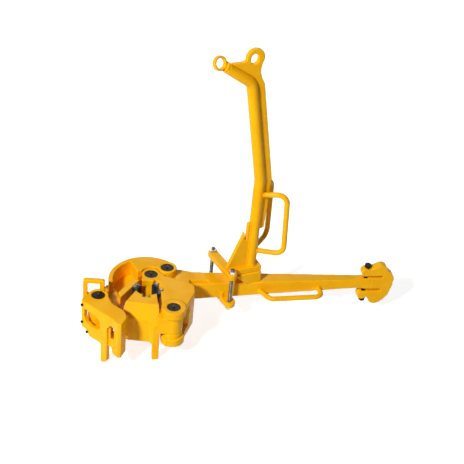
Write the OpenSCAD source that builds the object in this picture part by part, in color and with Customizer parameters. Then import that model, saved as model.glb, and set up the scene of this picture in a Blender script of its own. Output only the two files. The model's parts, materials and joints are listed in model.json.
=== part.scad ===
/* [Gripped pipe] */
// Radius of the pipe that the closed jaws grip
pipe_r = 50.8; // [44:0.1:54]
// Clear space between the pipe and the castings
pipe_room = 7.2; // [6:0.1:10]

/* [Jaw castings] */
// Half of the height of the jaw castings
jaw_half = 97.5; // [95:0.5:104]
// Underside of the upper ears above mid-height
ear_under = 57.5; // [57.5:0.1:59]
// Outer radius of the long jaw's curved back
back_r = 180; // [178:1:190]
// Thickness of the long jaw's curved back wall
back_wall = 22; // [18:1:26]
// Distance of the centre of the curved back behind the pipe
back_centre_y = 60; // [56:1:62]
// Thickness of the long jaw's level web
web_t = 36; // [30:1:60]
// Radius of the ears round the jaw pins
ear_r = 44; // [41:0.5:44.5]
// Radius of the knuckle that the latch turns on
knuckle_r = 48; // [44:1:50]
// Half height of that knuckle
knuckle_half = 39.5; // [36:0.5:39.5]
// Radius kept clear round the latch pin above and below the knuckle
latch_turn_r = 100; // [96:1:104]

/* [Pins] */
// Radius of the four jaw pins
pin_r = 23; // [20:0.5:24]
// Radius of the pin heads
head_r = 31; // [28:0.5:33]
// Height of the pin heads
head_t = 8; // [6:0.5:9]
// Depth of the recess in which a pin head sits
recess_t = 10; // [9:0.5:12]
// Wall of the bronze bushes
bush_wall = 6; // [5:0.5:7]
// Running clearance on the radius of every pin
run_gap = 0.05; // [0.03:0.01:0.09]
// Radius of the threaded lower end of a pin
thread_r = 16; // [14:0.5:18]
// Distance across the corners of a pin nut
nut_corner_d = 54; // [50:1:60]
// Height of a pin nut
nut_t = 16; // [14:1:20]

/* [Dies] */
// Width of a gripping die
die_w = 38; // [34:1:40]
// Length of a gripping die
die_len = 146; // [140:1:160]
// Distance from the pipe axis to the back of a die
die_back = 73; // [71:0.5:75]
// Number of grooves in the face of a die
die_grooves = 6; // [4:1:8]
// Width of a groove
groove_w = 1.4; // [0.8:0.1:2]

/* [Latch] */
// Thickness of the latch's outer wall
latch_wall = 22; // [18:1:24]
// Radius about the latch pin of the face that hooks the lug jaw
hook_r = 166; // [165:0.5:170]
// Thickness of the lug jaw's lip inside the hook
lip_t = 35; // [28:1:38]
// Half height of that lip
lip_half = 53; // [46:1:54]
// Clearance between the lip and the hook
hook_gap = 3; // [2:0.5:4]

/* [Lever] */
// Width of the lever beside the head
lever_root_w = 98; // [88:1:104]
// Width of the lever at the far end
lever_tip_w = 41; // [36:1:50]
// Depth of the lever beside the head
lever_root_h = 90; // [80:1:96]
// Depth of the lever at the far end
lever_tip_h = 52; // [46:1:56]
// Distance from the pipe axis to the end of the tapered beam
lever_len = 1050; // [1000:10:1100]
// Distance of the lever's centre line behind the pipe axis
lever_y = 127; // [124:1:130]
// Thickness of the hook plate at the lever's end
hook_plate_t = 42; // [38:1:46]
// Radius of the keeper bolt in the hook plate
tail_bolt_r = 10; // [9:0.5:11]
// Radius of the carrying rod along the lever
lever_rod_r = 12; // [9:0.5:13]

/* [Hanger] */
// Distance from the pipe axis to the hanger post
hanger_x = 499; // [485:1:510]
// Turn of the hanger about the upright
hanger_skew = 16; // [12:1:18]
// Outer radius of the hanger tube
tube_r = 26; // [24:0.5:28]
// Height of the bend where the tube starts to lean
lean_z = 600; // [560:10:640]
// Lean of the upper tube from the upright
lean_deg = 10.6; // [8:0.1:12]
// Thickness of the rib and the gusset
plate_t = 20; // [16:1:24]
// Radius of the rods of the two hand grips
grip_r = 12.5; // [10:0.5:14]
// Reach of the hand grips from the middle of the tube
grip_reach = 148; // [135:1:160]
// Half width of the slot in the hanger's top eye
eye_slot_r = 17.5; // [15:0.5:19]
// Radius of the hole in the levelling eye
level_eye_r = 22; // [17:0.5:24]
// Turn of the levelling eye about its own neck
level_eye_turn = -21; // [-60:1:60]

/* [Hidden] */
$fn = 96;

// The four jaw pins, seen from above
latch_at = [-230, -50];
long_at = [106, 150];
fulcrum_at = [25, 108];
lug_at = [106, -153];
back_at = [0, back_centre_y];

// Faces that turn past each other are this far apart in height
side_gap = 1;
head_half = ear_under - side_gap;
mouth_r = pipe_r + pipe_room;
bush_r = pin_r + run_gap + bush_wall;
seat_r = bush_r + run_gap;
short_top = 91.5;
lug_knuckle_low = -32.5;
latch_low = -85.5;

// Places of the dies round the pipe, in degrees
long_die_deg = 143;
short_die_degs = [41, -7];
lug_die_deg = -100;
keeper_t = 5;

// The lug jaw's lip, about the latch pin: its two faces, its end and where it leaves the jaw
lip_out = hook_r - hook_gap;
lip_in = lip_out - lip_t;
lip_end = -46.5;
lip_root = -36;

// The latch's outer wall runs between these two corners
wall_a = [-309, -89];
wall_b = [-138, -271];
toe_run = 60;
wall_len = norm(wall_b - wall_a);
wall_deg = atan2(wall_b.y - wall_a.y, wall_b.x - wall_a.x);

// A bend in a rod is this much thicker, and the straight lengths run this far into it
rod_swell = 0.1;
rod_lap = 0.2;

// The hook plate at the lever's end
lever_joint_x = lever_len + 70;
bolt_x = lever_len + 48;
hook_slot_end = lever_len + 130;
hook_slot_from = lever_len - 50;
hook_slot_up = [29, 44];
hook_slot_low = [-50, -35];
bolt_head_z = 86;
bolt_end_z = -105.5;

// The yoke of the hanger
yoke_at = [370, lever_y + 15];
yoke_half = 98;
yoke_turn = 4.3;
yoke_z = 95;
yoke_t = 30;
yoke_bolt_r = 9;
lower_ear_z = -40;
lower_ear_t = 26;

// The post, its horn and the levelling eye, in the plane of the hanger
post_x = 4;
post_bend = 60;
horn_z = 1096;
horn_run = 76;
horn_r = 24;
eye_at = [-249, 1203];
neck_reach = 47;
neck_depth = 50;
top_eye_at = [-86, 1211];
top_eye_r = 42.5;
eye_slot_at = top_eye_at - [4.5, 4];
eye_slot_half = 6;
neck_r = 11;
eye_ring_r = 32;
level_eye_t = 18;
neck_root = eye_ring_r - 5;

function unit(v) = v / norm(v);
function turned(v, a) = [v.x * cos(a) - v.y * sin(a), v.x * sin(a) + v.y * cos(a)];
function bend_deg(p, i) = acos(unit(p[i] - p[i - 1]) * unit(p[i + 1] - p[i]));
function polar(c, r, a) = c + r * [cos(a), sin(a)];

// The middle line of the post, and of the horn, which points at the levelling eye
knee_at = [post_x, lean_z];
lean_way = [-sin(lean_deg), cos(lean_deg)];
post_top = knee_at + lean_way * (horn_z - lean_z) / lean_way.y;
horn_way = unit(eye_at - post_top);
horn_end = eye_at - horn_way * neck_reach;
horn_len = norm(horn_end - post_top);

// A level slab from z0 up to z1 with the drawn outline
module slab(z0, z1) {
    translate([0, 0, z0]) linear_extrude(height = z1 - z0) children();
}

// A bar with round ends, drawn flat between two centres
module bar(a, ra, b, rb) {
    d = norm(b - a);
    t = atan2(b.y - a.y, b.x - a.x);
    s = acos((ra - rb) / d);
    translate(a) circle(r = ra);
    translate(b) circle(r = rb);
    polygon([polar(a, ra, t + s), polar(a, ra, t - s), polar(b, rb, t - s), polar(b, rb, t + s)]);
}

// A sector of a flat ring
module sector(c, r0, r1, a0, a1) {
    far = 2 * r1;
    intersection() {
        translate(c) difference() {
            circle(r = r1, $fn = 160);
            circle(r = r0, $fn = 160);
        }
        polygon([c, polar(c, far, a0), polar(c, far, (a0 + a1) / 2), polar(c, far, a1)]);
    }
}

// An upright round hole or pin
module round_at(p, r, z0, z1) {
    translate([p.x, p.y, z0]) cylinder(r = r, h = z1 - z0);
}

// A round rod along a flat path with round bends
module rod(p, r, bend) {
    last = len(p) - 1;
    for (i = [0:last - 1]) {
        u = unit(p[i + 1] - p[i]);
        cut_a = i == 0 ? 0 : bend * tan(bend_deg(p, i) / 2);
        cut_b = i == last - 1 ? 0 : bend * tan(bend_deg(p, i + 1) / 2);
        a = p[i] + u * cut_a;
        translate([a.x, a.y, 0]) rotate([0, 0, atan2(u.y, u.x)]) rotate([0, 90, 0])
            translate([0, 0, -rod_lap])
            cylinder(r = r, h = norm(p[i + 1] - p[i]) - cut_a - cut_b + 2 * rod_lap, $fn = 32);
    }
    for (i = [1:1:last - 1]) {
        u = unit(p[i] - p[i - 1]);
        way = cross(u, p[i + 1] - p[i]) > 0 ? 1 : -1;
        a = p[i] - u * bend * tan(bend_deg(p, i) / 2);
        c = a + way * bend * [-u.y, u.x];
        start = atan2(a.y - c.y, a.x - c.x) - (way < 0 ? bend_deg(p, i) : 0);
        translate([c.x, c.y, 0]) rotate([0, 0, start]) rotate_extrude(angle = bend_deg(p, i))
            translate([bend, 0]) circle(r = r + rod_swell, $fn = 32);
    }
}

// Stands a flat drawing up in the plane of the lever
module upright(y) {
    translate([0, y, 0]) rotate([90, 0, 0]) children();
}

// Puts a drawing into the plane of the hanger
module in_hanger() {
    translate([hanger_x, lever_y, 0]) rotate([0, 0, hanger_skew]) rotate([90, 0, 0]) children();
}

// A pin with a recessed head, a shaft and a threaded lower end
module jaw_pin(p, top, low) {
    head_low = top - recess_t;
    round_at(p, head_r, head_low, head_low + head_t - 1.5);
    translate([p.x, p.y, head_low + head_t - 1.5]) cylinder(r1 = head_r, r2 = head_r - 1.5, h = 1.5);
    round_at(p, pin_r, low, head_low);
    round_at(p, thread_r, low - nut_t - 5, low);
}

// The hole for a jaw pin with the recess for its head
module pin_hole(p, top) {
    round_at(p, pin_r + run_gap, -2 * jaw_half, 2 * jaw_half);
    round_at(p, head_r + 0.5, top - recess_t, top + recess_t);
}

module pin_nut(p, low) {
    difference() {
        round_at(p, nut_corner_d / 2, low - nut_t, low, $fn = 6);
        round_at(p, thread_r + run_gap, low - 2 * nut_t, low + 1);
    }
}

// A grease nipple that stands on a pin head
module nipple(p, top) {
    base = top - recess_t + head_t;
    translate([p.x, p.y, base]) cylinder(r = 6, h = 4, $fn = 6);
    round_at(p, 3.5, base + 4, base + 7);
    translate([p.x, p.y, base + 8]) sphere(r = 3.6, $fn = 32);
}

module bush(p, half_low, half_top) {
    difference() {
        round_at(p, bush_r, half_low, half_top);
        round_at(p, pin_r + run_gap, half_low - 1, half_top + 1);
    }
}

// A die drawn flat, with its grooved face bent to the pipe
module die_shape() {
    face = sqrt(pipe_r * pipe_r - die_w * die_w / 4) - 1;
    step = die_w / (die_grooves + 1);
    difference() {
        translate([face, -die_w / 2]) square([die_back - face, die_w]);
        circle(r = pipe_r, $fn = 160);
        for (i = [1:die_grooves])
            translate([face, -die_w / 2 + i * step - groove_w / 2]) square([pipe_r - face + 1.2, groove_w]);
    }
}

module die(a) {
    rotate([0, 0, a]) slab(-die_len / 2, die_len / 2) die_shape();
}

// The slot that a die slides into from above
module die_slot(a) {
    rotate([0, 0, a]) slab(-die_len / 2, 2 * jaw_half)
        translate([pipe_r - 6, -die_w / 2]) square([die_back - pipe_r + 6, die_w]);
}

// A small plate and screw that keep a die in its slot
module die_keeper(a) {
    rotate([0, 0, a]) {
        translate([pipe_r + 5, -13, die_len / 2]) cube([14, 26, keeper_t]);
        translate([pipe_r + 12, 0, die_len / 2 + keeper_t]) cylinder(r = 7, h = 6, $fn = 6);
    }
}

// Lever: a tapered beam whose head lies between the ears of both jaws
module lever_plan() {
    root_x = 230;
    bar(fulcrum_at, ear_r, long_at, ear_r + 1);
    polygon([[60, 70], [root_x, lever_y - lever_root_w / 2], [lever_len, lever_y - lever_tip_w / 2],
        [lever_joint_x, lever_y - hook_plate_t / 2], [lever_joint_x, lever_y + hook_plate_t / 2],
        [lever_len, lever_y + lever_tip_w / 2], [root_x, lever_y + lever_root_w / 2], [108, 194]]);
}

module lever_side() {
    half_tip = lever_tip_h / 2;
    polygon([[-40, -head_half], [165, -head_half], [240, -lever_root_h / 2], [lever_len, -half_tip],
        [lever_joint_x, hook_slot_low.y], [lever_joint_x, hook_slot_up.x], [lever_len, half_tip],
        [240, lever_root_h / 2], [165, head_half], [-40, head_half]]);
}

module yoke_place() {
    translate([yoke_at.x, yoke_at.y, 0]) rotate([0, 0, 90 + hanger_skew + yoke_turn]) children();
}

module lever() {
    color("gold") difference() {
        union() {
            intersection() {
                slab(-head_half, head_half) lever_plan();
                upright(2 * lever_y) linear_extrude(height = 4 * lever_y) lever_side();
            }
            yoke_place() slab(lower_ear_z - lower_ear_t, lower_ear_z)
                bar([-yoke_half, 0], 28, [yoke_half, 0], 28);
            yoke_place() slab(lower_ear_z - 6, lower_ear_z + 30)
                translate([-60, -26]) square([120, 52]);
        }
        round_at(fulcrum_at, seat_r, -jaw_half, jaw_half);
        round_at(long_at, seat_r, -jaw_half, jaw_half);
        round_at([bolt_x, lever_y], tail_bolt_r + run_gap, -jaw_half, jaw_half);
        yoke_place() for (s = [-1, 1])
            translate([s * yoke_half, 0, lower_ear_z - 40]) cylinder(r = yoke_bolt_r + run_gap, h = 80);
        translate([210, lever_y - lever_root_w / 2 + 6, lever_root_h / 2 - 26]) cube([90, 25, 60]);
    }
}

// Hook plate: two lips above and below the lever's end hold the pull line
module hook_plate() {
    translate([lever_len, 0, 0]) upright(lever_y + hook_plate_t / 2) linear_extrude(height = hook_plate_t)
        children();
}

module tail_hook() {
    color("gold") difference() {
        union() {
            hook_plate() polygon([[36, 44], [54, 78], [78, 93], [100, 104], [146, 82], [180, 50],
                [188, -10], [174, -72], [146, -110], [100, -122], [72, -97], [34, -50]]);
            hook_plate() translate([116, 76]) circle(r = 32);
            hook_plate() translate([156, 22]) circle(r = 34);
            hook_plate() translate([110, -88]) circle(r = 38);
            hook_plate() translate([40, 65]) circle(r = 22);
            hook_plate() translate([38, -72]) circle(r = 24);
        }
        for (z = [hook_slot_up, hook_slot_low])
            translate([hook_slot_from, 0, z.x]) cube([hook_slot_end - hook_slot_from, 2 * lever_y, z.y - z.x]);
        translate([hook_slot_from, 0, hook_slot_low.x])
            cube([lever_joint_x - hook_slot_from, 2 * lever_y, hook_slot_up.y - hook_slot_low.x]);
        round_at([bolt_x, lever_y], tail_bolt_r + run_gap, -140, 140);
    }
}

module tail_bolt() {
    color("dimgray") {
        round_at([bolt_x, lever_y], tail_bolt_r, bolt_end_z - 11, bolt_head_z + 6);
        round_at([bolt_x, lever_y], 17, bolt_head_z + 6, bolt_head_z + 18, $fn = 6);
    }
}

module tail_nut() {
    color("dimgray") difference() {
        round_at([bolt_x, lever_y], 17, bolt_end_z - 7, bolt_end_z + 8, $fn = 6);
        round_at([bolt_x, lever_y], tail_bolt_r + run_gap, bolt_end_z - 20, bolt_end_z + 20);
    }
}

module carrying_rod() {
    near_y = 22;
    color("gold") difference() {
        translate([0, 0, -14])
            rod([[552.8, lever_y - 30], [598, near_y], [860, near_y + 8], [852, lever_y - 20]], lever_rod_r, 34);
        slab(-lever_root_h, lever_root_h) lever_plan();
    }
}

module fulcrum_bush() {
    color("peru") bush(fulcrum_at, -head_half, head_half);
}

module long_jaw_bush() {
    color("peru") bush(long_at, -head_half, head_half);
}

// Hanger: a saddle on the lever, a yoke held by two long bolts, and a bent post
module hanger_saddle() {
    top_of_lever = 35;
    color("gold") difference() {
        in_hanger() translate([0, 0, -42]) linear_extrude(height = 84)
            polygon([[-90, yoke_z], [50, yoke_z], [50, top_of_lever], [-28, top_of_lever]]);
        upright(2 * lever_y) linear_extrude(height = 4 * lever_y) lever_side();
    }
}

module hanger_yoke() {
    color("gold") difference() {
        slab(yoke_z, yoke_z + yoke_t) {
            yoke_place() bar([-yoke_half, 0], 23, [yoke_half, 0], 23);
            translate([hanger_x, lever_y]) rotate([0, 0, hanger_skew]) translate([-132, -34]) square([182, 68]);
        }
        yoke_place() for (s = [-1, 1])
            translate([s * yoke_half, 0, 0]) cylinder(r = yoke_bolt_r + run_gap, h = 2 * yoke_z);
    }
}

module yoke_bolts() {
    low = lower_ear_z - lower_ear_t - 24;
    color("dimgray") yoke_place() for (s = [-1, 1])
        translate([s * yoke_half, 0, low]) cylinder(r = yoke_bolt_r, h = yoke_z + yoke_t + 22 - low);
}

module yoke_nuts() {
    color("silver") yoke_place() for (s = [-1, 1])
        for (z = [yoke_z + yoke_t, lower_ear_z - lower_ear_t - 16])
            translate([s * yoke_half, 0, z]) difference() {
                cylinder(r = 18, h = 16, $fn = 6);
                translate([0, 0, -1]) cylinder(r = yoke_bolt_r + run_gap, h = 18);
            }
}

module hanger_tube() {
    color("gold") in_hanger() difference() {
        union() {
            rod([[post_x, yoke_z + yoke_t + rod_lap], knee_at, post_top, post_top + horn_way * horn_run],
                tube_r, post_bend);
            on_horn(horn_run) cylinder(r1 = tube_r, r2 = horn_r, h = horn_len - horn_run);
        }
        on_horn(horn_len - neck_depth - 10) cylinder(r = neck_r + run_gap, h = neck_depth + 11);
    }
}

// Things placed along the horn, that far from where it starts
module on_horn(along) {
    at = post_top + horn_way * along;
    translate([at.x, at.y, 0]) rotate([0, 0, atan2(horn_way.y, horn_way.x)]) rotate([0, 90, 0]) children();
}

// Gusset: the stepped plate between the yoke and the post
module hanger_gusset() {
    low = yoke_z + yoke_t;
    color("gold") in_hanger() difference() {
        translate([0, 0, -plate_t / 2]) linear_extrude(height = plate_t)
            polygon([[-126, low], [-48, 322], [-42, 276], [-36, 274], [-36, 366], [10, 366], [10, low]]);
        rod([[post_x, low - 50], [post_x, 400]], tube_r + 2 * rod_swell, 10);
    }
}

// Rib: the plate along the back of the post, with the top eye
module hanger_rib() {
    back = knee_at + [57, 0];
    top = back + lean_way * (1086 - lean_z) / lean_way.y;
    horn_side = [horn_way.y, -horn_way.x];
    color("gold") in_hanger() difference() {
        translate([0, 0, -plate_t / 2]) linear_extrude(height = plate_t) difference() {
            union() {
                polygon([[post_x, 322], [50, 332], back, top, [-46, 1116], [-55, 1142], [-55, 1164], [-51, 1188],
                    [-92, 1225], [-132, 1200], [-150, 1196], [-192, 1196],
                    post_top + horn_way * (horn_len - 5) + horn_side * 15, post_top, knee_at]);
                translate(top_eye_at) circle(r = top_eye_r);
            }
            bar(eye_slot_at - [0, eye_slot_half], eye_slot_r, eye_slot_at + [0, eye_slot_half], eye_slot_r);
        }
        rod([[post_x, 100], knee_at, post_top, post_top + horn_way * horn_run],
            tube_r + 2 * rod_swell, post_bend);
        on_horn(horn_run - 0.1)
            cylinder(r1 = tube_r + run_gap, r2 = horn_r + run_gap, h = horn_len - horn_run + 1);
    }
}

// Hand grips: two bent rods on either side of the post's back
module grip(side) {
    color("gold") translate([hanger_x, lever_y, 0]) rotate([0, 0, hanger_skew]) translate([4, 0, 0])
        rotate([0, 0, side * 36]) rotate([90, 0, 0])
        rod([[tube_r - 6, 520], [grip_reach - 12, 541], [grip_reach + 4, 215], [tube_r - 6, 207]],
            grip_r, 42);
}

module near_grip() {
    difference() {
        grip(-1);
        in_hanger() rod([[post_x, 100], knee_at], tube_r + 2 * rod_swell, 10);
        in_hanger() translate([0, 280, -plate_t / 2]) cube([70, 400, plate_t]);
    }
}

module far_grip() {
    difference() {
        grip(1);
        in_hanger() rod([[post_x, 100], knee_at], tube_r + 2 * rod_swell, 10);
        in_hanger() translate([0, 280, -plate_t / 2]) cube([70, 400, plate_t]);
    }
}

// Levelling eye: an eye on a threaded neck that screws into the horn
module along_neck() {
    in_hanger() translate([eye_at.x, eye_at.y, 0]) rotate([0, 0, atan2(-horn_way.y, -horn_way.x)]) children();
}

module levelling_eye() {
    color("gold") along_neck() rotate([level_eye_turn, 0, 0]) difference() {
        union() {
            translate([0, 0, -level_eye_t / 2]) cylinder(r = eye_ring_r, h = level_eye_t);
            rotate([0, 90, 0]) translate([0, 0, neck_root])
                cylinder(r = neck_r, h = neck_reach + neck_depth - neck_root);
        }
        translate([0, 0, -20]) cylinder(r = level_eye_r, h = 40);
    }
}

module eye_lock_nut() {
    color("gold") along_neck() rotate([0, 90, 0]) difference() {
        translate([0, 0, eye_ring_r + 1]) cylinder(r = 25, h = neck_reach - eye_ring_r - 1.3, $fn = 6);
        cylinder(r = neck_r + run_gap, h = 100);
    }
}

// Long jaw: a curved back wall, a level web, two ears and the latch knuckle
module back_disc() {
    translate(back_at) circle(r = back_r, $fn = 160);
}

module long_keep_out() {
    bar(fulcrum_at, ear_r + 5, long_at, ear_r + 4);
}

module far_half() {
    polygon([long_at, polar(long_at, 600, 120), polar(long_at, 600, 165), polar(long_at, 600, 203)]);
}

module long_inner_edge() {
    face = polar([0, 0], die_back, long_die_deg);
    along = [cos(long_die_deg - 90), sin(long_die_deg - 90)];
    polygon([face - along * 142, face + along * 44, face + along * 44 + turned([30, 0], long_die_deg),
        face - along * 142 + turned([30, 0], long_die_deg)]);
}

module long_floor() {
    difference() {
        intersection() {
            back_disc();
            polygon([[-144, -66], [-84, 10], [-58, 44], [-34, 76], [60, 150], [70, 300], [-300, 300],
                [-250, 40], [-200, -20]]);
        }
        long_keep_out();
    }
}

module long_jaw() {
    color("gold") difference() {
        union() {
            difference() {
                union() {
                    difference() {
                        slab(-jaw_half, jaw_half) intersection() {
                            sector(back_at, back_r - back_wall, back_r, 40, 187);
                            far_half();
                        }
                        slab(-ear_under, ear_under) long_keep_out();
                    }
                    for (s = [0, 1]) mirror([0, 0, s]) slab(ear_under, jaw_half) difference() {
                        union() {
                            translate(long_at) circle(r = ear_r + 1);
                            intersection() {
                                back_disc();
                                polygon([long_at, [140, 190], [100, 300], [-95, 300], [-62, 190], [-40, 120],
                                    [30, 150]]);
                            }
                        }
                        translate(fulcrum_at) circle(r = ear_r + 3.2);
                    }
                    slab(-ear_under, ear_under) difference() {
                        intersection() {
                            back_disc();
                            polygon([[120, 220], [100, 300], [-95, 300], [-62, 190], [-40, 120], [60, 190]]);
                            far_half();
                        }
                        long_keep_out();
                    }
                    slab(-die_len / 2 - 6, die_len / 2 + 6) difference() {
                        long_inner_edge();
                        long_keep_out();
                    }
                }
                for (s = [0, 1]) mirror([0, 0, s])
                    round_at(latch_at, latch_turn_r, knuckle_half, 2 * jaw_half);
            }
            slab(-web_t / 2, web_t / 2) long_floor();
            slab(-knuckle_half, knuckle_half) {
                translate(latch_at) circle(r = knuckle_r);
                polygon([polar(latch_at, knuckle_r, 125), [-184, 100], [-140, 60], [-130, -50], [-144, -70],
                    [-152, -78], polar(latch_at, knuckle_r, -60)]);
            }
        }
        die_slot(long_die_deg);
        pin_hole(long_at, jaw_half);
        round_at(latch_at, seat_r, -jaw_half, jaw_half);
        round_at([0, 0], mouth_r, -jaw_half, jaw_half);
    }
}

module long_jaw_pin() {
    color("black") jaw_pin(long_at, jaw_half, -jaw_half);
}

module long_jaw_pin_nut() {
    color("black") pin_nut(long_at, -jaw_half);
}

module long_jaw_nipple() {
    color("silver") nipple(long_at, jaw_half);
}

module long_jaw_die() {
    color("dimgray") die(long_die_deg);
}

module long_jaw_die_keeper() {
    color("silver") die_keeper(long_die_deg);
}

module latch_bush() {
    color("peru") bush(latch_at, -knuckle_half, knuckle_half);
}

// Latch: two plates, an outer wall with a window, and a hook for the lug jaw
module latch_plan() {
    translate(latch_at) circle(r = 46);
    polygon([wall_a, [-300, -62], [-276, -42], [-262, -18], [-230, -6], [-200, -18], [-186, -60], [-171, -116],
        [-121, -169], [-112, -200], [-114, -226], wall_b, wall_b - [16, -2],
        wall_b + toe_run * unit(wall_a - wall_b)]);
}

module latch_wall_plan() {
    translate(wall_a) rotate([0, 0, wall_deg]) square([wall_len, latch_wall]);
}

// Things placed along the latch's outer wall: along it, inwards, up
module on_wall() {
    translate([wall_a.x, wall_a.y, 0]) rotate([0, 0, wall_deg]) children();
}

module latch() {
    color("gold") difference() {
        union() {
            slab(knuckle_half + side_gap, jaw_half) latch_plan();
            slab(latch_low, -knuckle_half - side_gap) latch_plan();
            slab(latch_low, jaw_half) intersection() {
                latch_plan();
                latch_wall_plan();
            }
            slab(-jaw_half, jaw_half) difference() {
                intersection() {
                    latch_plan();
                    polygon([latch_at, polar(latch_at, 400, -73), polar(latch_at, 400, -44)]);
                }
                translate(latch_at) circle(r = hook_r);
            }
            on_wall() translate([122, 2, 0]) rotate([-90, 0, 0]) linear_extrude(height = 24)
                polygon([[-3, 70], [36, 70], [36, 170], [24, 186], [10, 192.5], [0, 192.5]]);
        }
        pin_hole(latch_at, jaw_half);
        slab(-ear_under, ear_under) sector(latch_at, latch_turn_r, hook_r, -66, -20);
        on_wall() rotate([90, 0, 0]) linear_extrude(height = 120, center = true) {
            polygon([[19, 62], [44, 56], [84, 60], [112, 40], [118, 0], [100, -16], [64, -25], [34, -14],
                [19, 14]]);
            polygon([[-20, -54], [26, -54], [51, -86], [118, -86], [118, -120], [-20, -120]]);
            polygon([[196, -120], [206, -96], [230, -120]]);
        }
        on_wall() translate([160, -20, 0]) rotate([-90, 0, 0]) linear_extrude(height = 34)
            polygon([[0, -22], [22, -50], [46, -58], [64, -48], [64, 44], [34, 80], [16, 130], [0, 130]]);
        on_wall() translate([170, -20, -38]) cube([20, 200, 72]);
    }
}

// Latch handle: an upright loop behind the latch pin
module latch_handle() {
    color("gold") difference() {
        translate([-296, 6, 0]) rotate([90, 0, -8]) linear_extrude(height = 22) difference() {
            polygon([[0, 50], [98, 50], [98, 152], [92, 158], [6, 158], [0, 152]]);
            translate([20, 74]) square([56, 64]);
        }
        slab(-jaw_half, jaw_half) latch_plan();
    }
}

module latch_pin() {
    color("black") jaw_pin(latch_at, jaw_half, latch_low);
}

module latch_pin_nut() {
    color("black") pin_nut(latch_at, latch_low);
}

module latch_nipple() {
    color("silver") nipple(latch_at, jaw_half);
}

// Three screws in the latch's outer edge
module latch_screws() {
    color("dimgray") for (p = [[8, 78], [8, -20], [40, -62]])
        on_wall() translate([p.x, 0, p.y]) rotate([90, 0, 0]) cylinder(r = 6.5, h = 7, $fn = 6);
}

// Short jaw: two plates joined by a body round the pipe, with the lug ears
module short_plan() {
    difference() {
        union() {
            translate(fulcrum_at) circle(r = ear_r);
            translate(lug_at) circle(r = 57);
            polygon([[-16, 92], [-22, 52], [0, 40], [60, 0], [56, -105], [50, -160], [70, -204], [150, -190],
                [163, -146], [217, -40], [219, 6], [208, 24], [134, 66], [90, 88], [66, 124]]);
        }
        circle(r = mouth_r, $fn = 160);
    }
}

module short_core() {
    difference() {
        polygon([[-20, 50], [2, 60], [134, 60], [208, 24], [219, 6], [217, -40], [188, -98], [150, -96],
            [60, -98], [56, -60], [40, 20], [0, 40]]);
        circle(r = mouth_r, $fn = 160);
        translate(fulcrum_at) circle(r = ear_r + 3);
        translate(lug_at) circle(r = 54);
    }
}

module short_jaw() {
    color("gold") difference() {
        union() {
            slab(ear_under, short_top) short_plan();
            slab(ear_under, jaw_half) translate(lug_at) circle(r = 57);
            slab(-jaw_half, -ear_under) short_plan();
            slab(-jaw_half, lug_knuckle_low - side_gap) translate(lug_at) circle(r = 46);
            slab(-ear_under, ear_under) short_core();
        }
        for (a = short_die_degs) die_slot(a);
        pin_hole(fulcrum_at, short_top);
        pin_hole(lug_at, jaw_half);
        slab(-jaw_half, -ear_under + 60) lug_room();
    }
}

// Room under the short jaw's upper plate for the lug jaw's body
module lug_room() {
    polygon([[30, -78], [52, -88], [52, -240], [30, -240]]);
}

module fulcrum_pin() {
    color("black") jaw_pin(fulcrum_at, short_top, -jaw_half);
}

module fulcrum_pin_nut() {
    color("black") pin_nut(fulcrum_at, -jaw_half);
}

module fulcrum_nipple() {
    color("silver") nipple(fulcrum_at, short_top);
}

module lug_pin() {
    color("black") jaw_pin(lug_at, jaw_half, -jaw_half);
}

module lug_pin_nut() {
    color("black") pin_nut(lug_at, -jaw_half);
}

module lug_pin_nipple() {
    color("silver") nipple(lug_at, jaw_half);
}

module short_jaw_dies() {
    color("dimgray") for (a = short_die_degs) die(a);
}

module short_jaw_die_keepers() {
    color("silver") for (a = short_die_degs) die_keeper(a);
}

// Lug jaw: the block in front of the pipe, its barrel, its leg and its lip
module lug_jaw() {
    top = 94;
    brow = 31;
    color("gold") difference() {
        union() {
            difference() {
                slab(-jaw_half, top)
                    polygon([polar(latch_at, lip_in, lip_root), [-54, -17], [36, -30], [38, -104], [44, -186],
                        [12, -186], [-4, -166], polar(latch_at, lip_out, lip_root)]);
                translate([-100, -146, brow]) rotate([56, 0, -11.8]) translate([-100, -100, 0])
                    cube([300, 300, 150]);
            }
            slab(lug_knuckle_low, ear_under - side_gap) {
                translate(lug_at) circle(r = 45);
                polygon([[30, -112], [90, -111], [96, -195], [30, -186]]);
            }
            translate([12, -186, 0]) rotate([90, 0, 90]) linear_extrude(height = 32)
                polygon([[0, -60], [26, -60], [26, -160], [18, -192.5], [4, -192.5], [0, -186]]);
        }
        round_at([0, 0], mouth_r, -jaw_half - 1, jaw_half + 1);
        die_slot(lug_die_deg);
        round_at(lug_at, seat_r, -jaw_half, jaw_half);
    }
}

module lug_jaw_lip() {
    color("gold") slab(-lip_half, lip_half) sector(latch_at, lip_in, lip_out, lip_end, lip_root);
}

module lug_bush() {
    color("peru") bush(lug_at, lug_knuckle_low, ear_under - side_gap);
}

module lug_jaw_die() {
    color("dimgray") die(lug_die_deg);
}

module lug_jaw_die_keeper() {
    color("silver") die_keeper(lug_die_deg);
}

lever();
tail_hook();
tail_bolt();
tail_nut();
carrying_rod();
fulcrum_bush();
long_jaw_bush();
hanger_saddle();
hanger_yoke();
yoke_bolts();
yoke_nuts();
hanger_tube();
hanger_gusset();
hanger_rib();
near_grip();
far_grip();
levelling_eye();
eye_lock_nut();
long_jaw();
long_jaw_pin();
long_jaw_pin_nut();
long_jaw_nipple();
long_jaw_die();
long_jaw_die_keeper();
latch_bush();
latch();
latch_handle();
latch_pin();
latch_pin_nut();
latch_nipple();
latch_screws();
short_jaw();
fulcrum_pin();
fulcrum_pin_nut();
fulcrum_nipple();
lug_pin();
lug_pin_nut();
lug_pin_nipple();
short_jaw_dies();
short_jaw_die_keepers();
lug_jaw();
lug_jaw_lip();
lug_bush();
lug_jaw_die();
lug_jaw_die_keeper();
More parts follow.
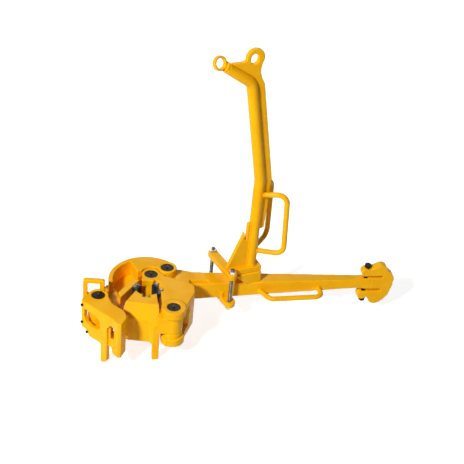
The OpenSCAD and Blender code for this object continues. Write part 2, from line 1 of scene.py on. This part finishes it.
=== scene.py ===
# %% [markdown]
# Manual pipe tongs, dressed in Blender
#
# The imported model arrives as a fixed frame: its bodies, joints and sizes are settled.
# This lesson gives that frame its looks. The castings get the soft edges that sand moulds leave,
# the welded hanger gets its beads, and every piece gets a finish made of shader nodes.

# %% Load the frame
import json
import math
import bmesh
import bpy
from mathutils import Matrix, Vector


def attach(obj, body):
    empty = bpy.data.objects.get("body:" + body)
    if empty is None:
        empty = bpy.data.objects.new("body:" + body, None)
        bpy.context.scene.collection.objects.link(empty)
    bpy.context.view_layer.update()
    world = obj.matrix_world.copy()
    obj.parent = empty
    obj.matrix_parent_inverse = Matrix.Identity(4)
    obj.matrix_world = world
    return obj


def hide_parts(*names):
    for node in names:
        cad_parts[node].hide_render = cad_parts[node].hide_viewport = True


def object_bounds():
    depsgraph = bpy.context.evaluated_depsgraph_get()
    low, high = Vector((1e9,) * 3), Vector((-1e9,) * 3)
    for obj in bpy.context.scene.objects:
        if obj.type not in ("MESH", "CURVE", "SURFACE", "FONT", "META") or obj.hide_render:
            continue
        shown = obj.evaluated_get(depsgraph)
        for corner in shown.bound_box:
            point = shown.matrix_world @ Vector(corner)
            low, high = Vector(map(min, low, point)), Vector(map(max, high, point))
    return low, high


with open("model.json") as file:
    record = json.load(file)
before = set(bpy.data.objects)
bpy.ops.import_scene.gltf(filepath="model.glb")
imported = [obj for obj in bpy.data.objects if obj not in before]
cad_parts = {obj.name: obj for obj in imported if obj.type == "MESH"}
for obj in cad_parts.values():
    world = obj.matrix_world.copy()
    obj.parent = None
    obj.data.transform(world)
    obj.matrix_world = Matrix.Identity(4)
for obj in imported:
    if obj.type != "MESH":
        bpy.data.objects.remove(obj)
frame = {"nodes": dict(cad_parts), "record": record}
nodes = frame["nodes"]
bodies = frame["record"]["behaviour"]["bodies"]
body_of_node = {node: body for body, members in bodies.items() for node in members}
slot_of_node = {row["node"]: row["material_slot"] for row in frame["record"]["subparts"]}
cad_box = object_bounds()

# %% [markdown]
# The camera
#
# The photograph was taken from in front, a little to the left and well above, with a long lens.
# A camera can be placed by rotation angles, but its three axes say more plainly where it looks,
# so they fill the columns of its matrix.

# %% Place the camera
CAMERA_AT = Vector((-0.4116, -3.6837, 2.9372))
CAMERA_RIGHT = Vector((0.985, -0.151, 0.085)).normalized()
CAMERA_AHEAD = Vector((0.172, 0.811, -0.559)).normalized()
CAMERA_UP = CAMERA_RIGHT.cross(CAMERA_AHEAD).normalized()
LENS_MM = 77.6
SENSOR_MM = 36
FARTHEST_SEEN = 60

camera_data = bpy.data.cameras.new("photo_camera")
camera_data.lens = LENS_MM
camera_data.sensor_width = SENSOR_MM
camera_data.clip_end = FARTHEST_SEEN
camera = bpy.data.objects.new("photo_camera", camera_data)
bpy.context.scene.collection.objects.link(camera)
columns = Matrix((CAMERA_RIGHT, CAMERA_UP, -CAMERA_AHEAD)).transposed()
camera.matrix_world = Matrix.Translation(CAMERA_AT) @ columns.to_4x4()
bpy.context.scene.camera = camera
bpy.context.scene.view_settings.view_transform = "Standard"
print("camera at", [round(v, 2) for v in CAMERA_AT])

# %% [markdown]
# Shared effects
#
# Paint, steel and bronze all need the same few things: blotches of tone, a fine grain and the
# ridges of a thread. Each is made once as a node group with named inputs, so that a material
# only has to say how large and how strong it wants them.

# %% Start a node group
FLOAT = "NodeSocketFloat"


def new_group(name, inputs, outputs):
    group = bpy.data.node_groups.new(name, "ShaderNodeTree")
    for title, value in inputs:
        socket = group.interface.new_socket(title, in_out="INPUT", socket_type=FLOAT)
        socket.default_value = value
    for title in outputs:
        group.interface.new_socket(title, in_out="OUTPUT", socket_type=FLOAT)
    return group, group.nodes.new("NodeGroupInput"), group.nodes.new("NodeGroupOutput")


def math_node(tree, operation, first, second):
    node = tree.nodes.new("ShaderNodeMath")
    node.operation = operation
    for index, value in enumerate((first, second)):
        if isinstance(value, (int, float)):
            node.inputs[index].default_value = value
        else:
            tree.links.new(value, node.inputs[index])
    return node.outputs[0]


print("node groups and math nodes can be made")

# %% Group: blotches and grain
BLOTCH_DETAIL = 4
GRAIN_DETAIL = 3
LUMP_SCALE = 55
LUMP_DETAIL = 2


def make_surface_noise():
    group, given, out = new_group(
        "surface_noise",
        [("Blotch Scale", 12.0), ("Grain Scale", 300.0), ("Low", 0.4), ("High", 0.65)],
        ["Blotches", "Grain", "Lumps"])
    place = group.nodes.new("ShaderNodeTexCoord")
    made = {}
    for title, scale, detail in (("blotch", "Blotch Scale", BLOTCH_DETAIL),
                                 ("grain", "Grain Scale", GRAIN_DETAIL)):
        noise = group.nodes.new("ShaderNodeTexNoise")
        noise.inputs["Detail"].default_value = detail
        group.links.new(place.outputs["Object"], noise.inputs["Vector"])
        group.links.new(given.outputs[scale], noise.inputs["Scale"])
        made[title] = noise.outputs["Fac"]
    steps = group.nodes.new("ShaderNodeMapRange")
    steps.interpolation_type = "SMOOTHSTEP"
    group.links.new(made["blotch"], steps.inputs["Value"])
    group.links.new(given.outputs["Low"], steps.inputs["From Min"])
    group.links.new(given.outputs["High"], steps.inputs["From Max"])
    lumps = group.nodes.new("ShaderNodeTexNoise")
    lumps.inputs["Scale"].default_value = LUMP_SCALE
    lumps.inputs["Detail"].default_value = LUMP_DETAIL
    group.links.new(place.outputs["Object"], lumps.inputs["Vector"])
    group.links.new(steps.outputs["Result"], out.inputs["Blotches"])
    group.links.new(made["grain"], out.inputs["Grain"])
    group.links.new(lumps.outputs["Fac"], out.inputs["Lumps"])
    return group


surface_noise = make_surface_noise()
print("group", surface_noise.name)

# %% [markdown]
# The thread of the long yoke bolts
#
# A thread could be cut as a spiral in the mesh, but on studs this thin a camera only sees fine
# rings. So the height along the upright is folded up and down once for each pitch, and a bump
# reads that as ridges.

# %% Group: a screw thread along the upright
FOLD_AT = 0.5


def make_thread():
    group, given, out = new_group("upright_thread", [("Pitch", 0.003)], ["Ridge"])
    place = group.nodes.new("ShaderNodeTexCoord")
    split = group.nodes.new("ShaderNodeSeparateXYZ")
    group.links.new(place.outputs["Object"], split.inputs[0])
    turns = math_node(group, "DIVIDE", split.outputs["Z"], given.outputs["Pitch"])
    ridge = math_node(group, "PINGPONG", turns, FOLD_AT)
    group.links.new(ridge, out.inputs["Ridge"])
    return group


upright_thread = make_thread()
print("group", upright_thread.name)

# %% [markdown]
# The enamel
#
# The castings are sprayed with thick yellow enamel over a rough skin, so the gloss is broken by
# orange peel and slow lumps. Edges that stand out get a painted highlight, a lighter yellow, and
# corners get painted shade, a deep brown. Cycles' Pointiness knows both places once a mesh is
# fine enough. The drawn rods' enamel leaves out this painted highlight and shade.

# %% Begin a material
def begin(name, roughness, metallic):
    material = bpy.data.materials.new(name)
    material.use_nodes = True
    shader = material.node_tree.nodes["Principled BSDF"]
    shader.inputs["Roughness"].default_value = roughness
    shader.inputs["Metallic"].default_value = metallic
    return material, material.node_tree, shader


def place_noise(tree, blotch, grain):
    node = tree.nodes.new("ShaderNodeGroup")
    node.node_tree = surface_noise
    node.inputs["Blotch Scale"].default_value = blotch
    node.inputs["Grain Scale"].default_value = grain
    return node


print("materials can be begun")

# %% Mix, spread and bump
def blend_colours(tree, factor, first, second):
    mix = tree.nodes.new("ShaderNodeMix")
    mix.data_type = "RGBA"
    tree.links.new(factor, mix.inputs["Factor"])
    for socket, value in ((mix.inputs["A"], first), (mix.inputs["B"], second)):
        if isinstance(value, tuple):
            socket.default_value = (*value, 1)
        else:
            tree.links.new(value, socket)
    return mix.outputs["Result"]


def spread(tree, value, from_low, from_high, to_low, to_high):
    node = tree.nodes.new("ShaderNodeMapRange")
    tree.links.new(value, node.inputs["Value"])
    for title, number in (("From Min", from_low), ("From Max", from_high),
                          ("To Min", to_low), ("To Max", to_high)):
        node.inputs[title].default_value = number
    return node.outputs["Result"]


def add_bump(tree, shader, height, strength, distance):
    bump = tree.nodes.new("ShaderNodeBump")
    bump.inputs["Strength"].default_value = strength
    bump.inputs["Distance"].default_value = distance
    tree.links.new(height, bump.inputs["Height"])
    tree.links.new(bump.outputs["Normal"], shader.inputs["Normal"])


print("colours, ranges and bumps can be joined")

# %% Yellow enamel
ENAMEL = (1.00, 0.50, 0.0015)
ENAMEL_DEEP = (0.97, 0.455, 0.0012)
# painted highlight: edges of the castings that stand out are given this lighter yellow
ENAMEL_EDGE_HIGHLIGHT = (1.00, 0.56, 0.008)
# painted shade: hollow corners of the castings are given this deep brown
ENAMEL_CORNER_SHADE = (0.34, 0.11, 0.004)
ENAMEL_BLOTCH_SCALE = 9.0
ENAMEL_GRAIN_SCALE = 420.0
ENAMEL_ROUGHNESS = (0.26, 0.42)
ENAMEL_SPECULAR = 0.10
EDGE_HIGHLIGHT_POINTINESS = (0.51, 0.56)
EDGE_HIGHLIGHT_SHARE = 0.65
CORNER_SHADE_POINTINESS = (0.49, 0.44)
CORNER_SHADE_SHARE = 0.75
PEEL_SHARE = 0.18
SKIN_STRENGTH = 0.35
CAST_SKIN_DEPTH = 0.0022
ROD_SKIN_DEPTH = 0.0008


def make_enamel(name, is_cast):
    material, tree, shader = begin(name, ENAMEL_ROUGHNESS[0], 0.0)
    noise = place_noise(tree, ENAMEL_BLOTCH_SCALE, ENAMEL_GRAIN_SCALE)
    blotches = noise.outputs["Blotches"]
    tone = blend_colours(tree, blotches, ENAMEL, ENAMEL_DEEP)
    if is_cast:
        point = tree.nodes.new("ShaderNodeNewGeometry").outputs["Pointiness"]
        # painted highlight: edges that stand out, found by Pointiness, are lightened
        edge = spread(tree, point, *EDGE_HIGHLIGHT_POINTINESS, 0.0, EDGE_HIGHLIGHT_SHARE)
        tone = blend_colours(tree, edge, tone, ENAMEL_EDGE_HIGHLIGHT)
        # painted shade: hollow corners, found by Pointiness, are darkened
        corner = spread(tree, point, *CORNER_SHADE_POINTINESS, 0.0, CORNER_SHADE_SHARE)
        tone = blend_colours(tree, corner, tone, ENAMEL_CORNER_SHADE)
    tree.links.new(tone, shader.inputs["Base Color"])
    tree.links.new(spread(tree, blotches, 0, 1, *ENAMEL_ROUGHNESS), shader.inputs["Roughness"])
    shader.inputs["Specular IOR Level"].default_value = ENAMEL_SPECULAR
    peel = math_node(tree, "MULTIPLY", noise.outputs["Grain"], PEEL_SHARE)
    height = math_node(tree, "ADD", peel, noise.outputs["Lumps"])
    add_bump(tree, shader, height, SKIN_STRENGTH, CAST_SKIN_DEPTH if is_cast else ROD_SKIN_DEPTH)
    return material


cast_enamel = make_enamel("cast_enamel", True)
rod_enamel = make_enamel("rod_enamel", False)
print("enamel for castings and for drawn rods")

# %% [markdown]
# Steels and bronze
#
# Pins are oiled black, dies are dark and hard, studs are threaded and bushes are turned bronze.
# They could be separate materials drawn one by one, but they differ only in tone, polish and
# grain, so one builder makes them all. Oil hides the metal of the pins, so theirs isn't metallic.

# %% Build a metal
METAL_BLOTCH_SCALE = 38.0
OILED_SPECULAR = 0.12
THREAD_STRENGTH = 0.9
GRAIN_STRENGTH = 0.4


def make_metal(name, pale, dark, rough, metallic, grain, depth=0.0, pitch=0.0):
    material, tree, shader = begin(name, rough[0], metallic)
    if metallic == 0.0:
        shader.inputs["Specular IOR Level"].default_value = OILED_SPECULAR
    noise = place_noise(tree, METAL_BLOTCH_SCALE, grain)
    blotches = noise.outputs["Blotches"]
    tree.links.new(blend_colours(tree, blotches, pale, dark), shader.inputs["Base Color"])
    tree.links.new(spread(tree, blotches, 0, 1, *rough), shader.inputs["Roughness"])
    if pitch:
        ridges = tree.nodes.new("ShaderNodeGroup")
        ridges.node_tree = upright_thread
        ridges.inputs["Pitch"].default_value = pitch
        add_bump(tree, shader, ridges.outputs["Ridge"], THREAD_STRENGTH, pitch)
    else:
        add_bump(tree, shader, noise.outputs["Grain"], GRAIN_STRENGTH, depth)
    return material


print("metals can be built")

# %% The metals by their slot in the record
metals = {
    "black_steel": make_metal(
        "oiled_black", pale=(0.008, 0.006, 0.003), dark=(0.022, 0.014, 0.006),
        rough=(0.30, 0.5), metallic=0.0, grain=260.0, depth=0.0006),
    "bright_steel": make_metal(
        "zinc_plate", pale=(0.66, 0.66, 0.63), dark=(0.42, 0.41, 0.38),
        rough=(0.25, 0.45), metallic=1.0, grain=500.0, depth=0.0003),
    "bronze": make_metal(
        "turned_bronze", pale=(0.62, 0.40, 0.18), dark=(0.42, 0.25, 0.10),
        rough=(0.3, 0.5), metallic=1.0, grain=400.0, depth=0.0003),
    "die_steel": make_metal(
        "hardened_dies", pale=(0.075, 0.075, 0.082), dark=(0.14, 0.12, 0.10),
        rough=(0.35, 0.6), metallic=0.8, grain=600.0, depth=0.0004),
}
print("metals:", ", ".join(sorted(metals)))

# %% Metals of single pieces
nipple_steel = make_metal(
    "greasy_nipples", pale=(0.10, 0.09, 0.07), dark=(0.03, 0.026, 0.02),
    rough=(0.4, 0.6), metallic=0.6, grain=300.0, depth=0.0003)
keeper_steel = make_metal(
    "worn_keepers", pale=(0.34, 0.33, 0.31), dark=(0.13, 0.12, 0.11),
    rough=(0.35, 0.6), metallic=0.9, grain=400.0, depth=0.0004)
stud_steel = make_metal(
    "threaded_studs", pale=(0.16, 0.155, 0.15), dark=(0.08, 0.07, 0.06),
    rough=(0.35, 0.55), metallic=0.9, grain=300.0, pitch=0.0025)
print("metals of their own for nipples, keepers and studs")

# %% [markdown]
# Finishes on the CAD nodes
#
# Pins, nuts, dies and drawn rods already have their true shape, so their nodes stay
# as they are and only take a material in their slots.

# %% Paint the nodes
for name, node in nodes.items():
    finish = metals.get(slot_of_node[name], rod_enamel)
    if name == "yoke_bolts":
        finish = stud_steel
    if name.endswith("nipple"):
        finish = nipple_steel
    if "keeper" in name:
        finish = keeper_steel
    if not node.material_slots:
        node.data.materials.append(finish)
    for place in node.material_slots:
        place.material = finish
print("painted", len(nodes), "nodes")

# %% [markdown]
# The castings
#
# Real jaws leave the sand mould with every edge rounded a few millimetres, while the solids are
# crisp. A Bevel modifier would trip over the long thin triangles of an imported solid. Here a
# merged copy is rebuilt from small even cells and then relaxed, which rounds all the edges
# together and melts the bosses into their walls as a casting does. The lug jaw's lip is a node
# of its own, but the same casting, so the two are rebuilt as one piece.

# %% Sizes of the castings' cells
CELL = 0.0026
ROUNDING_PASSES = 5
ROUNDING_FACTOR = 0.5
SAME_POINT = 0.00002
TRIANGLE_LIMIT = 190000
BELOW_LIMIT = 0.95
CASTINGS = ["lever", "tail_hook", "long_jaw", "latch", "latch_handle", "short_jaw", "lug_jaw",
            "hanger_saddle", "hanger_yoke", "hanger_gusset", "hanger_rib", "levelling_eye"]
CAST_TOGETHER = {"lug_jaw": ["lug_jaw_lip"]}
print("castings:", len(CASTINGS))

# %% Round one casting
def count_triangles(piece):
    seen = piece.evaluated_get(bpy.context.evaluated_depsgraph_get())
    return sum(len(face.vertices) - 2 for face in seen.data.polygons)


def cast_copy(name, cell):
    members = [name] + CAST_TOGETHER.get(name, [])
    mesh = bpy.data.meshes.new(name + "_casting")
    shape = bmesh.new()
    for member in members:
        shape.from_mesh(nodes[member].data)
    bmesh.ops.remove_doubles(shape, verts=shape.verts, dist=SAME_POINT)
    shape.to_mesh(mesh)
    shape.free()
    piece = bpy.data.objects.new(name + "_casting", mesh)
    bpy.context.scene.collection.objects.link(piece)
    rebuild = piece.modifiers.new("even_cells", "REMESH")
    rebuild.mode = "VOXEL"
    rebuild.voxel_size = cell
    relax = piece.modifiers.new("rounded_edges", "SMOOTH")
    relax.factor = ROUNDING_FACTOR
    relax.iterations = ROUNDING_PASSES
    thin = piece.modifiers.new("fewer_faces", "DECIMATE")
    thin.ratio = 1.0
    triangles = count_triangles(piece)
    if triangles > TRIANGLE_LIMIT:
        thin.ratio = BELOW_LIMIT * TRIANGLE_LIMIT / triangles
        bpy.context.view_layer.update()
    finished = bpy.data.meshes.new_from_object(
        piece.evaluated_get(bpy.context.evaluated_depsgraph_get()))
    piece.modifiers.clear()
    piece.data = finished
    finished.materials.clear()
    finished.materials.append(cast_enamel)
    finished.polygons.foreach_set("use_smooth", [True] * len(finished.polygons))
    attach(piece, body_of_node[name])
    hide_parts(*members)
    return piece


print("a casting can be rounded")

# %% Round them all
cell = CELL * 1.0
for name in CASTINGS:
    made = cast_copy(name, cell)
    print(made.name, len(made.data.polygons), "faces")

# %% [markdown]
# The weld beads
#
# The hanger is a welded piece: the rib and the gusset are joined to the tube, the tube to the
# yoke, and the hand grips to the tube. A bead is a thin rope of metal with a ripple at each step
# of the torch. A curve with a bevel would be smooth, so a small ring is extruded step by step
# along the joint, and its size swells and shrinks on the way.

# %% The hanger's plane
HANGER_AT = Vector((0.499, 0.127, 0.0))
HANGER_TURN_DEG = 16
HANGER_TURN = math.radians(HANGER_TURN_DEG)
POST_X = 0.004
TUBE_R = 0.026
RIB_HALF = 0.010
SEAM = math.sqrt(TUBE_R ** 2 - RIB_HALF ** 2)
LEAN = math.radians(10.6)
KNEE_Z = 0.600
HORN_Z = 1.096


def in_hanger(along, up, out=0.0):
    turned = Matrix.Rotation(HANGER_TURN, 3, "Z") @ Vector((along, -out, up))
    return HANGER_AT + turned


print("rib and tube meet", round(SEAM, 4), "from the tube's axis")

# %% Steps of a bead
BEAD_R = 0.0032
BEAD_STEP = 0.003
BEAD_SIDES = 8
RIPPLE = 0.16
RIPPLE_TURN = 2.4
CLOSING_GAP = 0.0009


def bead_path(corners, closed):
    path = []
    for start, end in zip(corners, corners[1:]):
        steps = max(1, round((end - start).length / BEAD_STEP))
        path += [start.lerp(end, i / steps) for i in range(steps)]
    if not closed:
        path.append(corners[-1])
    return path


print("a bead steps on by", BEAD_STEP, "m")

# %% Lay a bead
def lay_bead(name, corners, closed=False):
    path = bead_path(corners, closed)
    shape = bmesh.new()
    ahead = (path[1] - path[0]).normalized()
    bmesh.ops.create_circle(shape, segments=BEAD_SIDES, radius=BEAD_R, cap_ends=False)
    turn = ahead.to_track_quat("Z", "Y").to_matrix().to_4x4()
    bmesh.ops.transform(shape, matrix=Matrix.Translation(path[0]) @ turn, verts=shape.verts)
    rim = list(shape.edges)
    at, size = path[0], 1.0
    stops = path[1:] + ([path[0]] if closed else [])
    for number, stop in enumerate(stops):
        way = (stop - at).normalized()
        grown = bmesh.ops.extrude_edge_only(shape, edges=rim)["geom"]
        ring = [g for g in grown if isinstance(g, bmesh.types.BMVert)]
        rim = [g for g in grown if isinstance(g, bmesh.types.BMEdge)]
        bmesh.ops.translate(shape, vec=stop - at, verts=ring)
        wanted = 1.0 + RIPPLE * math.sin(RIPPLE_TURN * number)
        bend = ahead.rotation_difference(way).to_matrix().to_4x4()
        swell = Matrix.Scale(wanted / size, 4)
        around = Matrix.Translation(stop) @ bend @ swell @ Matrix.Translation(-stop)
        bmesh.ops.transform(shape, matrix=around, verts=ring)
        ahead, at, size = way, stop, wanted
    if closed:
        bmesh.ops.remove_doubles(shape, verts=shape.verts, dist=CLOSING_GAP)
    bmesh.ops.holes_fill(shape, edges=shape.edges, sides=0)
    bmesh.ops.recalc_face_normals(shape, faces=shape.faces)
    mesh = bpy.data.meshes.new(name)
    shape.to_mesh(mesh)
    shape.free()
    mesh.polygons.foreach_set("use_smooth", [True] * len(mesh.polygons))
    mesh.materials.append(rod_enamel)
    piece = bpy.data.objects.new(name, mesh)
    bpy.context.scene.collection.objects.link(piece)
    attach(piece, "lever")
    return piece


print("a bead can be laid")

# %% Beads of the rib and the gusset
BESIDE_FACE = 0.001
RIB_BEAD_FOOT = 0.334
KNEE_CUT = 0.006
HORN_CUT = 0.03
GUSSET_BEAD_TOP = 0.364
YOKE_TOP = 0.128
GUSSET_TIP = -0.122

lean_rise = HORN_Z - KNEE_Z
top_along = POST_X - math.tan(LEAN) * lean_rise
beads = []
for side, out in (("near", RIB_HALF + BESIDE_FACE), ("far", -RIB_HALF - BESIDE_FACE)):
    beads.append(lay_bead("rib_weld_" + side, [
        in_hanger(POST_X + SEAM, RIB_BEAD_FOOT, out),
        in_hanger(POST_X + SEAM, KNEE_Z - KNEE_CUT, out),
        in_hanger(top_along + SEAM * math.cos(LEAN) + KNEE_CUT, HORN_Z - HORN_CUT, out)]))
    beads.append(lay_bead("gusset_weld_" + side, [
        in_hanger(POST_X - SEAM, GUSSET_BEAD_TOP, out),
        in_hanger(POST_X - SEAM, YOKE_TOP, out),
        in_hanger(GUSSET_TIP, YOKE_TOP, out)]))
print("beads:", len(beads))

# %% Beads of the foot and the grips
FOOT_BEAD_Z = 0.1275
FOOT_BEAD_POINTS = 40
GRIP_SPREAD_DEG = 36
GRIP_ENDS = (("upper", 0.5215), ("lower", 0.2072))
GRIP_BEAD_R = 0.0130
GRIP_BEAD_POINTS = 24
OFF_TUBE = 0.0005


def ring_points(centre, normal, radius, number):
    turn = normal.to_track_quat("Z", "Y")
    return [centre + turn @ Vector((radius * math.cos(2 * math.pi * i / number),
                                    radius * math.sin(2 * math.pi * i / number), 0))
            for i in range(number + 1)]


foot = in_hanger(POST_X, FOOT_BEAD_Z)
foot_ring = ring_points(foot, Vector((0, 0, 1)), TUBE_R + BESIDE_FACE, FOOT_BEAD_POINTS)
beads.append(lay_bead("foot_weld", foot_ring, closed=True))
axis = in_hanger(POST_X, 0.0)
for side, degrees in (("near", HANGER_TURN_DEG - GRIP_SPREAD_DEG),
                      ("far", HANGER_TURN_DEG + GRIP_SPREAD_DEG)):
    outward = Vector((math.cos(math.radians(degrees)), math.sin(math.radians(degrees)), 0))
    for end, height in GRIP_ENDS:
        centre = axis + outward * (TUBE_R + OFF_TUBE) + Vector((0, 0, height))
        grip_ring = ring_points(centre, outward, GRIP_BEAD_R, GRIP_BEAD_POINTS)
        beads.append(lay_bead(side + "_grip_weld_" + end, grip_ring, closed=True))
print("beads:", len(beads))

# %% [markdown]
# The floor
#
# The photograph shows the tongs on plain white. The floor is pale and keeps their soft shadow,
# and what the camera sees behind them is white by the floor's and the world's own colour. More
# light would whiten it too, but would bleach the enamel with it.

# %% What the camera or a mirror sees
def seen_or_mirrored(tree):
    path = tree.nodes.new("ShaderNodeLightPath")
    glossy, through = path.outputs["Is Glossy Ray"], path.outputs["Is Transmission Ray"]
    mirrored = math_node(tree, "MAXIMUM", glossy, through)
    return math_node(tree, "MAXIMUM", path.outputs["Is Camera Ray"], mirrored)


print("camera rays can be told from light")

# %% Floor
FLOOR_Z = cad_box[0][2] - 0.0005
FLOOR_HALF = 14
FLOOR_MIDDLE_X = 0.4
FLOOR_COLOUR = (0.72, 0.72, 0.72, 1)
FLOOR_GLOW = 0.80
FLOOR_ROUGHNESS = 0.9

floor_shape = bmesh.new()
bmesh.ops.create_grid(floor_shape, x_segments=1, y_segments=1, size=FLOOR_HALF)
bmesh.ops.translate(floor_shape, vec=(FLOOR_MIDDLE_X, 0, FLOOR_Z), verts=floor_shape.verts)
floor_mesh = bpy.data.meshes.new("floor")
floor_shape.to_mesh(floor_mesh)
floor_shape.free()
floor = bpy.data.objects.new("floor", floor_mesh)
bpy.context.scene.collection.objects.link(floor)
floor_paint, floor_tree, floor_shader = begin("pale_floor", FLOOR_ROUGHNESS, 0.0)
floor_shader.inputs["Base Color"].default_value = FLOOR_COLOUR
floor_glow = math_node(floor_tree, "MULTIPLY", seen_or_mirrored(floor_tree), FLOOR_GLOW)
floor_shader.inputs["Emission Color"].default_value = (1, 1, 1, 1)
floor_tree.links.new(floor_glow, floor_shader.inputs["Emission Strength"])
floor_mesh.materials.append(floor_paint)
print("floor at", round(FLOOR_Z, 4))

# %% [markdown]
# The light
#
# The tops of the castings are bright and their right-hand sides deep orange, so the light comes
# from the upper left front. One large lamp gives it, and two weak ones and the room keep the
# shaded sides readable. Area lamps are used because they cast the soft shadows of a studio.

# %% Lamps
def area_lamp(name, at, aim, size, power):
    data = bpy.data.lights.new(name, "AREA")
    data.size = size
    data.energy = power
    lamp = bpy.data.objects.new(name, data)
    bpy.context.scene.collection.objects.link(lamp)
    turn = (Vector(aim) - Vector(at)).to_track_quat("-Z", "Y")
    lamp.matrix_world = Matrix.Translation(at) @ turn.to_matrix().to_4x4()
    return lamp


AIM = (0.35, 0.0, 0.25)
lamps = [area_lamp("key", at=(-3.9, -4.4, 5.0), aim=AIM, size=0.9, power=600),
         area_lamp("fill", at=(3.2, -2.4, 1.6), aim=AIM, size=2.2, power=2),
         area_lamp("rim", at=(0.8, 3.4, 3.0), aim=AIM, size=2.0, power=22)]
print("lamps:", len(lamps))

# %% The white room
ROOM_LIGHT = 0.07
ROOM_SEEN = 1.0

world = bpy.data.worlds.new("white_room")
world.use_nodes = True
bpy.context.scene.world = world
sky = world.node_tree
room = sky.nodes["Background"]
room.inputs["Color"].default_value = (1, 1, 1, 1)
level = spread(sky, seen_or_mirrored(sky), 0.0, 1.0, ROOM_LIGHT, ROOM_SEEN)
sky.links.new(level, room.inputs["Strength"])
print("the room gives", ROOM_LIGHT, "and is seen at", ROOM_SEEN)

# %% [markdown]
# The sizes
#
# Looks must not change the object's dimensions. The box of the solids was kept right after
# loading, and is printed here.

# %% Print the solids' box
print("CAD box", [[round(c, 3) for c in v] for v in cad_box])
